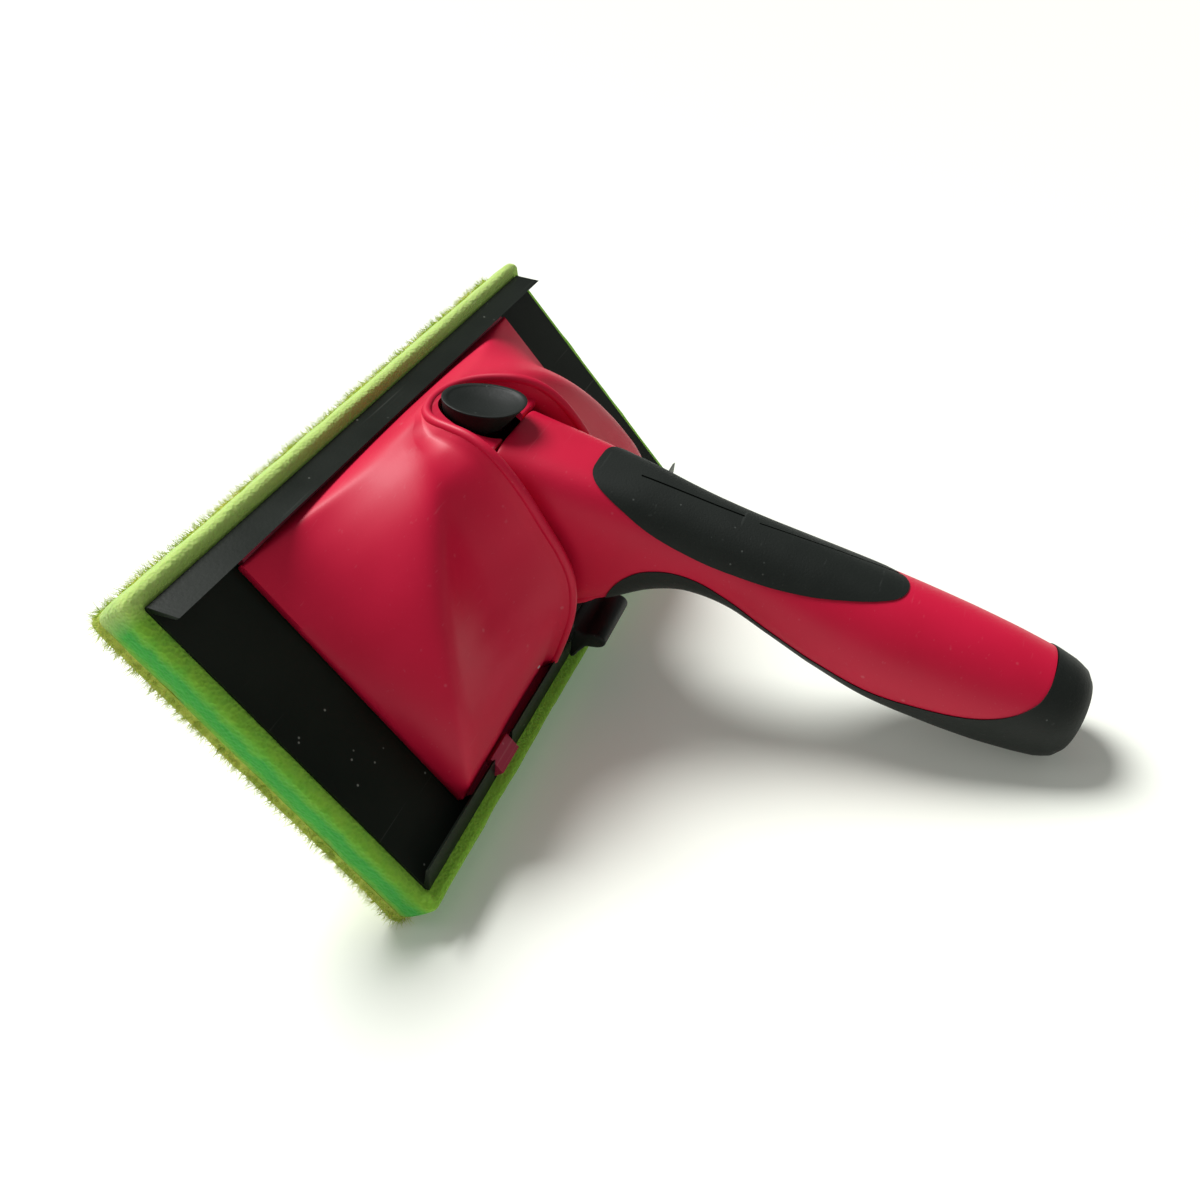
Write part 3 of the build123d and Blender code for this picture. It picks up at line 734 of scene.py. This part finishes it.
def makeBead():
    # the raised bead that runs all round the pocket, swept along the rim
    path = []
    for row in coverShape["rows"]:
        rim, crest = Vector(row[0]), Vector(row[1])
        away = Vector((rim.x - crest.x, rim.y - crest.y, 0)).normalized()
        path.append(rim - away * bead["outward"] - Vector((0, 0, bead["sink"])))
    path = path + [Vector((-point.x, point.y, point.z)) for point in reversed(path[:-1])]
    line = bpy.data.curves.new("beadLine", "CURVE")
    line.dimensions = "3D"
    line.resolution_u = 8
    line.bevel_depth = bead["radius"]
    line.bevel_resolution = 4
    line.use_fill_caps = True
    spline = line.splines.new("NURBS")
    spline.points.add(len(path) - 1)
    for point, place in zip(spline.points, path):
        point.co = (*place, 1)
    spline.order_u = 3
    spline.use_endpoint_u = True
    holder = bpy.data.objects.new("beadLine", line)
    bpy.context.scene.collection.objects.link(holder)
    swept = bpy.data.meshes.new_from_object(holder.evaluated_get(bpy.context.evaluated_depsgraph_get()))
    bm = bmesh.new()
    bm.from_mesh(swept)
    bpy.data.objects.remove(holder)
    bmesh.ops.remove_doubles(bm, verts=bm.verts, dist=0.001)
    stand(bm, headPlace)
    closePiece(bm, "rimBead", "crimsonShell", "head", [], 60)


# release lever
lever = {"outline": [(11.9, 9.4), (12.2, 11.4), (11.2, 13.4), (8.6, 14.2), (6.6, 15.6), (5.2, 18.2),
                     (3.0, 20.6), (0.4, 20.8), (-1.2, 19.2), (-1.0, 16.8), (0.3, 14.4), (1.3, 12.4),
                     (0.7, 8.6), (-0.1, 5.6), (0.3, 4.2), (1.5, 4.6), (3.6, 7.0), (6.2, 8.8), (9.4, 8.4)],
         "half": 12.0, "edge": 0.9, "steps": 5}


def makeLever():
    points = [Vector(point) for point in lever["outline"]]
    count = len(points)
    line = []
    for index in range(count):
        around = [points[(index + shift) % count] for shift in (-1, 0, 1, 2)]
        line += [smoothBetween(*around, step / lever["steps"]) for step in range(lever["steps"])]
    bm = bmesh.new()
    bm.faces.new([bm.verts.new((-lever["half"], point.x, point.y)) for point in line])
    thicken(bm, (2 * lever["half"], 0, 0))
    easeEdges(bm, squareEdges(bm), lever["edge"], 3)
    stand(bm, headPlace)
    closePiece(bm, "releaseLever", "latchPlastic", "lever", ["release_lever"], 40)


def makeSeat():
    right = seat["outline"]
    left = [(-x, along) for x, along in reversed(right[:-1])]
    bm = extrudedOutline(right + left, seat["top"], seat["thick"])
    front = [edge for edge in bm.edges if all(abs(vert.co.z - right[0][1]) < 0.1 for vert in edge.verts)]
    easeEdges(bm, front, seat["edge"], 3)
    # the opening the button goes into, cut right through the plate
    grow = 1 + button["gap"] / button["half"]
    turns = [2 * math.pi * step / button["around"] for step in range(button["around"])]
    outline = [buttonOutline(turn, grow) for turn in turns]
    opening = extrudedOutline(outline, seat["top"] + 4, seat["thick"] + 8)
    plate = carve(loosePiece(bm, "seatPlate"), [("DIFFERENCE", loosePiece(opening, "seatOpening"))])
    toHandle(plate, "buttonSeat", "crimsonShell", [], 35, "head")


# handle; each row: distance along, back height, belly height, half width, squareness
handleShape = {
    "rows": [
        (-22.0, 27.4, -16.0, 18.2, 4.4), (-12.0, 27.6, -24.4, 18.3, 4.2), (-4.0, 27.8, -26.9, 18.2, 4.0),
        (4.0, 27.9, -26.4, 17.9, 3.8), (14.0, 28.1, -22.8, 17.3, 3.4), (25.0, 28.2, -15.6, 16.5, 2.9),
        (35.0, 28.0, -7.8, 15.6, 2.4), (46.0, 27.7, -2.8, 14.7, 2.15), (60.0, 27.6, -2.4, 14.8, 2.0),
        (75.0, 27.4, -5.8, 16.3, 2.0), (90.0, 27.2, -9.6, 18.0, 2.0), (110.0, 26.8, -13.0, 19.5, 2.0),
        (130.0, 26.1, -13.2, 19.2, 2.0), (145.0, 25.1, -12.4, 18.3, 2.0), (157.0, 23.8, -10.8, 17.0, 2.0),
        (164.0, 22.2, -9.3, 15.8, 2.0), (168.0, 20.4, -7.5, 14.0, 2.0), (169.5, 18.4, -5.5, 12.0, 2.0),
    ],
    "around": 72, "step": 2.0, "proud": 0.35, "front": -22.0, "shellEnd": 156.0, "frontRound": 0.9,
    # the shell's back is sunk under the top grip: how deep, and how far inside the grip's edges
    "sunk": 1.4, "sunkFrom": 8, "sunkTo": 108, "sunkInside": 1.6,
}
bore = {"radius": 10.4, "height": 7.0, "from": 120, "to": 175}
# where each grip lies, seen from the side as (along, height); the first points are joined by a curve
topZone = {"start": -4.0, "end": 130.0, "curved": 11, "outline": [
    (3.6, 29.6), (9.6, 27.1), (19.7, 23.6), (32.9, 19.2), (49, 16.9), (65, 17.6), (80, 20), (92, 22.8),
    (101.6, 25.1), (107.9, 26.9), (112.5, 30), (112.5, 40), (3.6, 40)]}
underZone = {"start": 10.0, "end": 169.5, "curved": 15, "outline": [
    (21.5, -40), (23.5, -11), (29, 2), (38, 8), (49, 9.2), (60, 6.6), (73, 2.4), (90, -1), (109, -2.2),
    (125, 0.8), (138, 4.4), (147, 9), (153.2, 14.6), (156, 21), (157.6, 40), (190, 40), (190, -40)]}


def edgeHeight(along):
    # height of the top grip's lower edge at a distance along the handle
    edge = topZone["outline"][:topZone["curved"] - 1]
    for (firstAlong, firstHeight), (nextAlong, nextHeight) in zip(edge, edge[1:]):
        if firstAlong <= along <= nextAlong:
            return mixed(firstHeight, nextHeight, (along - firstAlong) / (nextAlong - firstAlong))
    return math.inf


def handleRow(along):
    rows = handleShape["rows"]
    index = 0
    while index < len(rows) - 2 and rows[index + 1][0] < along:
        index += 1
    around = neighbours(rows, index)
    share = (along - rows[index][0]) / (rows[index + 1][0] - rows[index][0])
    return [smoothBetween(*[row[column] for row in around], share) for column in range(1, 5)]


def handleForm(start, end, proud):
    # rings round the handle's middle line, joined into one closed skin
    count = max(2, round((end - start) / handleShape["step"]))
    bm = bmesh.new()
    rings = []
    for step in range(count + 1):
        along = mixed(start, end, step / count)
        back, belly, half, square = handleRow(along)
        made = bmesh.ops.create_circle(bm, cap_ends=False, radius=1, segments=handleShape["around"])
        for vert in made["verts"]:
            angle = math.atan2(vert.co.y, vert.co.x)
            side = math.copysign(abs(math.cos(angle)) ** (2 / square), math.cos(angle))
            up = math.copysign(abs(math.sin(angle)) ** (2 / square), math.sin(angle))
            vert.co = (side * (half + proud), (back + belly) / 2 + up * ((back - belly) / 2 + proud), along)
        rings.append(made["verts"])
    joinRings(bm, rings)
    bmesh.ops.recalc_face_normals(bm, faces=bm.faces)
    return bm


def zoneBlock(zone, name):
    # a cutting block through the handle's whole width
    points = [Vector(point) for point in zone["outline"]]
    curved = points[:zone["curved"]]
    line = []
    for index in range(len(curved) - 1):
        line += [smoothBetween(*neighbours(curved, index), step / 6) for step in range(6)]
    line += points[zone["curved"] - 1:]
    bm = bmesh.new()
    bm.faces.new([bm.verts.new((-40, point.y, point.x)) for point in line])
    thicken(bm, (80, 0, 0))
    return loosePiece(bm, name)


def toHandle(bm, name, look, replaced, sharp=30.0, body="handle"):
    bmesh.ops.remove_doubles(bm, verts=bm.verts, dist=0.01)
    stand(bm, handlePlace)
    closePiece(bm, name, look, body, replaced, sharp)


def disc(radius, thick, segments):
    # a plain disc along +Z, its rear face at zero
    bm = bmesh.new()
    bmesh.ops.create_circle(bm, cap_ends=True, radius=radius, segments=segments)
    thicken(bm, (0, 0, thick))
    return bm


def boreRod():
    bm = disc(bore["radius"], bore["to"] - bore["from"], 48)
    bmesh.ops.translate(bm, vec=(0, bore["height"], bore["from"]), verts=bm.verts)
    return loosePiece(bm, "boreRod")


# each slit in the top grip: start (x, along), end (x, along), width, bottom height
slits = [((-0.6, 21.0), (0.9, 55.0), 0.8, 27.1), ((0.4, 60.0), (7.0, 108.0), 0.55, 24.6)]


def slitBlade(start, end, width, bottom, name):
    # a thin upright blade from start to end, for cutting a line into the grip
    bm = bmesh.new()
    bmesh.ops.create_cube(bm, size=1)
    run = Vector((end[0] - start[0], 0, end[1] - start[1]))
    bmesh.ops.scale(bm, vec=(width, 20, run.length), verts=bm.verts)
    turn = Matrix.Rotation(math.atan2(run.x, run.z), 3, "Y")
    bmesh.ops.rotate(bm, matrix=turn, verts=bm.verts)
    middle = Vector(((start[0] + end[0]) / 2, bottom + 10, (start[1] + end[1]) / 2))
    bmesh.ops.translate(bm, vec=middle, verts=bm.verts)
    return loosePiece(bm, name)


def makeHandle():
    bm = handleForm(handleShape["front"], handleShape["shellEnd"], 0)
    for vert in bm.verts:
        inside = vert.co.y > edgeHeight(vert.co.z) + handleShape["sunkInside"]
        if handleShape["sunkFrom"] < vert.co.z < handleShape["sunkTo"] and inside:
            vert.co.y -= handleShape["sunk"]
    front = [edge for edge in bm.edges
             if all(abs(vert.co.z - handleShape["front"]) < 0.01 for vert in edge.verts)]
    easeEdges(bm, front, handleShape["frontRound"], 3)
    toHandle(bm, "handleShell", "crimsonShell", ["handle_body"], 50)


def makeGrip(zone, tools, name, node):
    # a grip is a slightly proud copy of the handle's form, cut to its zone
    form = handleForm(zone["start"], zone["end"], handleShape["proud"])
    cuts = [("INTERSECT", zoneBlock(zone, name + "Block"))]
    cuts += [("DIFFERENCE", tool) for tool in tools]
    toHandle(carve(loosePiece(form, name + "Form"), cuts), name, "gripRubber", [node])


hub = {"radius": 25.4, "half": 14.4, "edge": 2.0}


def makeHub():
    bm = disc(hub["radius"], 2 * hub["half"], 96)
    bmesh.ops.translate(bm, vec=(0, 0, -hub["half"]), verts=bm.verts)
    easeEdges(bm, squareEdges(bm), hub["edge"], 4)
    bmesh.ops.rotate(bm, matrix=Matrix.Rotation(math.radians(90), 3, "Y"), verts=bm.verts)
    toHandle(bm, "hubDrum", "crimsonShell", [], 50)


# button
button = {
    "rear": -47.6, "nose": -20.0, "half": 10.4, "low": 24.4, "rearTop": 29.6, "noseTop": 35.2,
    "around": 64, "gap": 0.45, "blunt": 0.62, "fullness": 0.9, "noseTaper": 0.16, "rearTaper": 0.08,
    "climb": 1.15, "rearDish": 0.55, "cutFrom": 0.55, "cutBack": 12,
    # each ring from the foot up and into the dish: size, share of the height, drop
    "rings": [(0.93, 0.0, 0), (0.94, 0.30, 0), (0.965, 0.66, 0), (0.99, 0.9, 0), (1.0, 0.97, 0),
              (0.985, 1.0, 0), (0.93, 1.0, 0), (0.87, 1.0, -0.12), (0.84, 1.0, -0.55), (0.78, 1.0, -0.75),
              (0.62, 1.0, -1.35), (0.44, 1.0, -1.9), (0.25, 1.0, -2.2), (0.08, 1.0, -2.3)],
}


def buttonOutline(angle, size):
    # a rounded leaf: blunt nose, full rear
    along = math.cos(angle)
    side = math.sin(angle)
    length = (button["nose"] - button["rear"]) / 2
    middle = (button["nose"] + button["rear"]) / 2
    reach = along ** button["blunt"] if along > 0 else along
    taper = 1.0 - button["noseTaper"] * max(0.0, reach) ** 2 - button["rearTaper"] * max(0.0, -reach)
    width = math.copysign(abs(side) ** button["fullness"], side) * button["half"] * taper
    return width * size, middle + reach * length * size


def makeButton():
    bm = bmesh.new()
    rings = []
    for size, rise, drop in button["rings"]:
        made = bmesh.ops.create_circle(bm, cap_ends=False, radius=1, segments=button["around"])
        for vert in made["verts"]:
            x, along = buttonOutline(math.atan2(vert.co.y, vert.co.x), size)
            share = (along - button["rear"]) / (button["nose"] - button["rear"])
            top = mixed(button["rearTop"], button["noseTop"], share ** button["climb"])
            height = mixed(button["low"], top, rise) + drop * mixed(button["rearDish"], 1, share)
            # the nose hangs over its foot
            back = (1 - rise) * max(0.0, share - button["cutFrom"]) * button["cutBack"]
            vert.co = (x, height, along - back)
        rings.append(made["verts"])
    joinRings(bm, rings)
    stand(bm, handlePlace)
    piece = closePiece(bm, "lockButton", "buttonPlastic", "button", ["lock_button"], 50)
    smoother = piece.modifiers.new("smoother", "SUBSURF")
    smoother.levels = 1
    smoother.render_levels = 1


rounded("pad_tray", "padTray", "blackTray", 0.28)
rounded("base_plate", "basePlate", "crimsonBase", 0.35)
rounded("latch_housing", "latchHousing", "latchPlastic", 0.45)
makeLever()
makeCover()
makeBead()
makeSeat()
print("head cover made")
makeHandle()
makeGrip(topZone, [slitBlade(*slit, "blade" + str(index)) for index, slit in enumerate(slits)],
         "topGrip", "top_grip")
makeGrip(underZone, [boreRod()], "underGrip", "under_grip")
makeHub()
makeButton()
print("handle, grips and button made")

# finishes of the parts that stay as they were loaded
nodeLooks = {
    "pole_socket": "socketPlastic", "lock_sector": "socketPlastic", "pivot_washers": "slipPlastic",
    "pivot_bushes": "slipPlastic", "bolt_guide": "slipPlastic", "cover_screws": "platedSteel",
    "pivot_pin": "platedSteel", "lock_bolt": "platedSteel", "latch_pin": "platedSteel",
    "pin_clips": "springSteel", "bolt_spring": "springSteel", "latch_spring": "springSteel",
}
for nodeName, lookName in nodeLooks.items():
    materialSlots = nodes[nodeName].material_slots
    if len(materialSlots) == 0:
        nodes[nodeName].data.materials.append(looks[lookName])
    for materialSlot in materialSlots:
        materialSlot.material = looks[lookName]
print("finishes on the carried-over parts")
